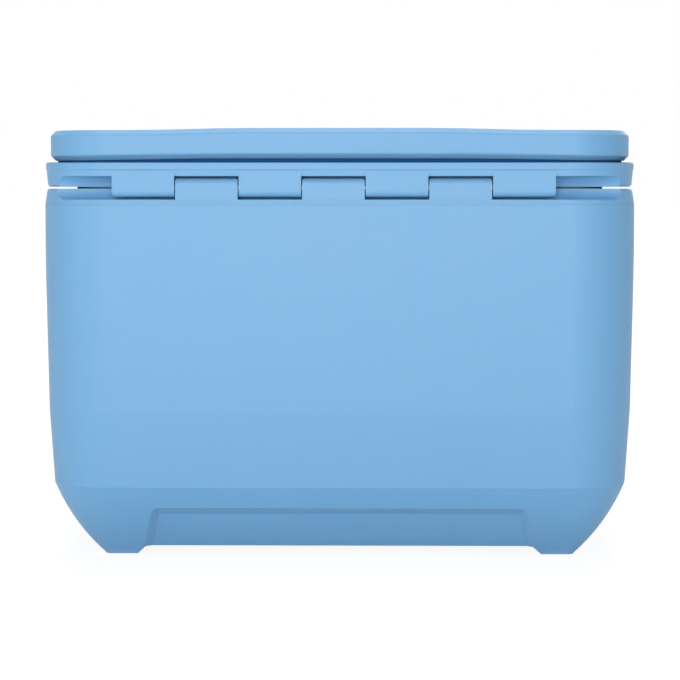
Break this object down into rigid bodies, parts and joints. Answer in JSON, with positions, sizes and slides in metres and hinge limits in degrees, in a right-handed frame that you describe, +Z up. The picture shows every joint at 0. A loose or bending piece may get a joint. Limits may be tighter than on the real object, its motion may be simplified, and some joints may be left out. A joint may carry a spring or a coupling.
{
  "type": "vaccine carrier",
  "caption": "Insulated vaccine carrier: blue moulded box with a full-width knuckle hinge, floating lid slab, front latches, folding top handle and ice packs round the storage space.",
  "frame": {"origin": "on the floor under the middle of the box", "axes": "+Z up, +X along the hinge towards the right end seen from the front, +Y from the latches towards the hinge"},
  "size_m": [0.44, 0.3, 0.3196],
  "materials": {
    "shell_blue": "satin moulded polypropylene",
    "latch_blue": "satin moulded polypropylene",
    "liner_white": "smooth white food-grade liner",
    "foam": "rigid polyurethane foam",
    "seal": "soft grey seal",
    "steel": "drawn stainless rod",
    "pack_white": "translucent polyethylene, water inside",
    "cap_blue": "moulded screw cap",
    "pad_foam": "soft closed-cell foam"
  },
  "bodies": {
    "base": {"outer_shell": "shell_blue", "body_insulation": "foam", "inner_liner": "liner_white", "vial_pad": "pad_foam", "ice_pack_front_left": "pack_white", "ice_pack_front_middle": "pack_white", "ice_pack_front_right": "pack_white", "ice_pack_back_left": "pack_white", "ice_pack_back_middle": "pack_white", "ice_pack_back_right": "pack_white", "ice_pack_left_end": "pack_white", "ice_pack_right_end": "pack_white", "ice_pack_cap_front_left": "cap_blue", "ice_pack_cap_front_middle": "cap_blue", "ice_pack_cap_front_right": "cap_blue", "ice_pack_cap_back_left": "cap_blue", "ice_pack_cap_back_middle": "cap_blue", "ice_pack_cap_back_right": "cap_blue", "ice_pack_cap_left_end": "cap_blue", "ice_pack_cap_right_end": "cap_blue"},
    "lid": {"lid_frame": "shell_blue", "lid_cover": "shell_blue", "lid_insulation": "foam", "lid_liner": "liner_white", "lid_gasket": "seal", "hinge_pin": "steel", "hinge_pin_plugs": "shell_blue", "latch_pin_left": "steel", "latch_pin_right": "steel", "handle_pin_left": "steel", "handle_pin_right": "steel"},
    "handle": {"carry_handle": "latch_blue"},
    "latch_left": {"latch_left": "latch_blue"},
    "latch_right": {"latch_right": "latch_blue"}
  },
  "joints": [
    {"name": "lid_hinge", "type": "hinge", "parent": "base", "child": "lid", "pos_m": [0, 0.1411, 0.2754], "axis": [-1, 0, 0], "range_deg": [0, 92]},
    {"name": "handle_swing", "type": "hinge", "parent": "lid", "child": "handle", "pos_m": [0, 0, 0.3131], "axis": [-1, 0, 0], "range_deg": [0, 90]},
    {"name": "latch_left_swing", "type": "hinge", "parent": "lid", "child": "latch_left", "pos_m": [-0.105, -0.1427, 0.2844], "axis": [-1, 0, 0], "range_deg": [0, 95]},
    {"name": "latch_right_swing", "type": "hinge", "parent": "lid", "child": "latch_right", "pos_m": [0.105, -0.1427, 0.2844], "axis": [-1, 0, 0], "range_deg": [0, 95]}
  ]
}
